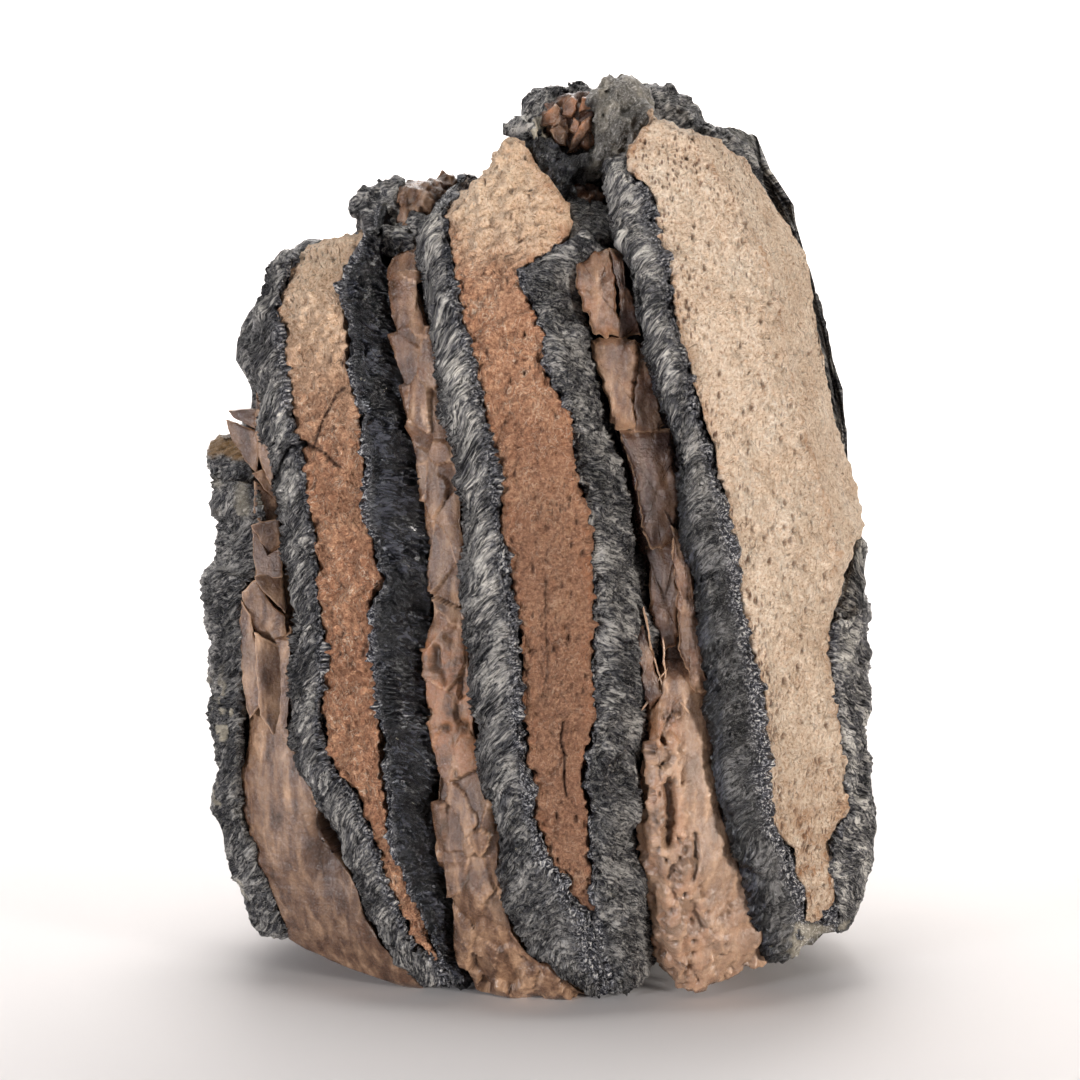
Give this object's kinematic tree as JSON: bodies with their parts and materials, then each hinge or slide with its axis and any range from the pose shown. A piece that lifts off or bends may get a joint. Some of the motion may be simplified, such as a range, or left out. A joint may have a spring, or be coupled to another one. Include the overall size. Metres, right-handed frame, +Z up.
{
  "type": "fossil mammoth molar fragment",
  "caption": "Fossil mammoth molar fragment standing upright: flat enamel plates filled with dentine, bound side by side by cement, broken at the top.",
  "frame": {"origin": "on the table, under the middle of the tooth's box", "axes": "+Z up along the plates, X across the plates, -Y out of the face that shows the banded enamel"},
  "size_m": [0.0707, 0.0542, 0.0964],
  "materials": {
    "enamel": "mineralised enamel, charcoal, fibrous, satin gloss",
    "dentine": "mineralised dentine, tan, granular, matt",
    "pale_dentine": "mineralised dentine, pale beige, pitted, matt",
    "cement": "mineralised tooth cement, brown, splintery, waxy gloss"
  },
  "bodies": {
    "root": {"plate_1_enamel": "enamel", "cement_1": "cement", "plate_2_enamel": "enamel", "plate_2_dentine": "dentine", "cement_2": "cement", "plate_3_enamel": "enamel", "plate_3_dentine": "dentine", "cement_3": "cement", "plate_4_enamel": "enamel", "plate_4_dentine": "pale_dentine"}
  },
  "joints": []
}
